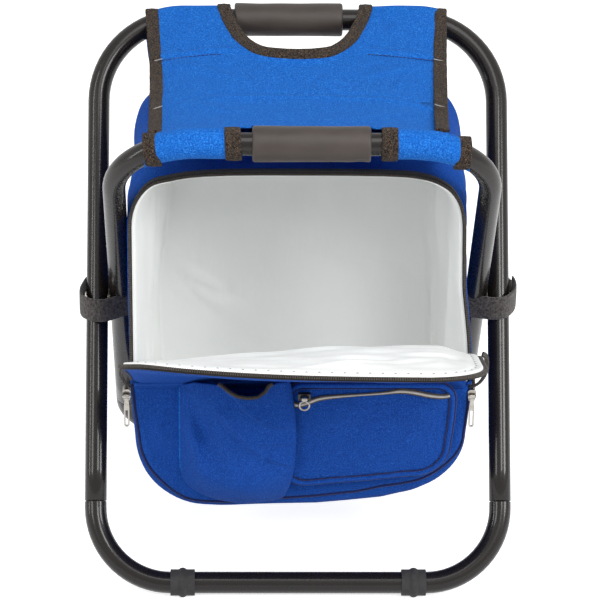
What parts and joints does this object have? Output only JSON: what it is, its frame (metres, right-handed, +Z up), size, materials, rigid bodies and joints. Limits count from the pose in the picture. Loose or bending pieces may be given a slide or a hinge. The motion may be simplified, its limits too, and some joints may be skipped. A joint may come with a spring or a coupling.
{
  "type": "folding cooler stool",
  "caption": "Folding stool of two crossed tube loops with a cloth seat, an insulated front-opening bag between the loops, two pockets and foam grips.",
  "frame": {"origin": "middle of the bounding box in X and Y, on the floor", "axes": "+Z up, +X to the right seen from the front, the bag opens towards -Y"},
  "size_m": [0.3678, 0.3982, 0.4193],
  "materials": {
    "tube": "gloss",
    "steel": "satin",
    "nylon": "matte",
    "foam": "matte",
    "rubber": "matte",
    "cloth": "matte",
    "bag": "matte",
    "binding": "matte",
    "navy": "matte",
    "liner": "satin",
    "zip": "matte",
    "reflector": "satin"
  },
  "bodies": {
    "outer_frame": {"outer_loop_upper": "tube", "outer_loop_lower": "tube", "pivot_rivet_left": "steel", "pivot_washer_left": "nylon", "pivot_rivet_right": "steel", "pivot_washer_right": "nylon", "rear_grip": "foam", "outer_foot_left": "rubber", "outer_foot_right": "rubber", "seat_panel": "cloth", "cutout_binding": "binding", "side_binding_left": "binding", "side_binding_right": "binding", "rear_sleeve_left": "cloth", "rear_sleeve_left_outer_edge": "binding", "rear_sleeve_left_inner_edge": "binding", "rear_sleeve_right": "cloth", "rear_sleeve_right_outer_edge": "binding", "rear_sleeve_right_inner_edge": "binding", "bag_shell": "bag", "bag_liner": "liner", "zip_rim_half": "zip", "lower_front_panel": "bag", "lower_front_lining": "liner", "front_piping": "navy", "zip_slider_left": "steel", "zip_slider_right": "steel", "bottle_pocket": "bag", "bottle_pocket_trim": "navy", "zip_pocket": "bag", "zip_pocket_piping": "navy", "zip_pocket_tape": "zip", "reflective_strip": "reflector", "zip_pocket_chain": "zip", "side_strap_left": "binding", "side_strap_right": "binding"},
    "inner_frame": {"inner_loop_upper": "tube", "inner_loop_lower": "tube", "front_grip": "foam", "inner_foot_left": "rubber", "inner_foot_right": "rubber", "front_sleeve_left": "cloth", "front_sleeve_left_outer_edge": "binding", "front_sleeve_left_inner_edge": "binding", "front_sleeve_right": "cloth", "front_sleeve_right_outer_edge": "binding", "front_sleeve_right_inner_edge": "binding"},
    "flap": {"flap_panel": "bag", "flap_lining": "liner", "zip_flap_half": "zip"},
    "zip_pull_left": {"zip_pull_left": "steel"},
    "zip_pull_right": {"zip_pull_right": "steel"},
    "pocket_slider": {"zip_pocket_slider": "steel"},
    "pocket_ring_pull": {"zip_pocket_ring_pull": "steel"}
  },
  "joints": [
    {"name": "frame_fold", "type": "hinge", "parent": "outer_frame", "child": "inner_frame", "pos_m": [0, 0.05383, 0.20776], "axis": [-1, 0, 0], "range_deg": [0, 60], "deforming": ["seat_panel", "cutout_binding", "side_binding_left", "side_binding_right"]},
    {"name": "flap_fold", "type": "hinge", "parent": "outer_frame", "child": "flap", "pos_m": [0, -0.04017, 0.17576], "axis": [-1, 0, 0], "range_deg": [0, 60]},
    {"name": "left_pull_swing", "type": "hinge", "parent": "outer_frame", "child": "zip_pull_left", "pos_m": [-0.1404, -0.04002, 0.16476], "axis": [-1, 0, 0], "range_deg": [0, 90]},
    {"name": "right_pull_swing", "type": "hinge", "parent": "outer_frame", "child": "zip_pull_right", "pos_m": [0.1404, -0.04002, 0.16476], "axis": [-1, 0, 0], "range_deg": [0, 90]},
    {"name": "pocket_zip_slide", "type": "slide", "parent": "outer_frame", "child": "pocket_slider", "axis": [1, 0, 0], "range_m": [0, 0.1]},
    {"name": "ring_pull_swing", "type": "hinge", "parent": "pocket_slider", "child": "pocket_ring_pull", "pos_m": [0.0035, -0.06197, 0.17431], "axis": [-1, 0, 0], "range_deg": [0, 75]}
  ]
}
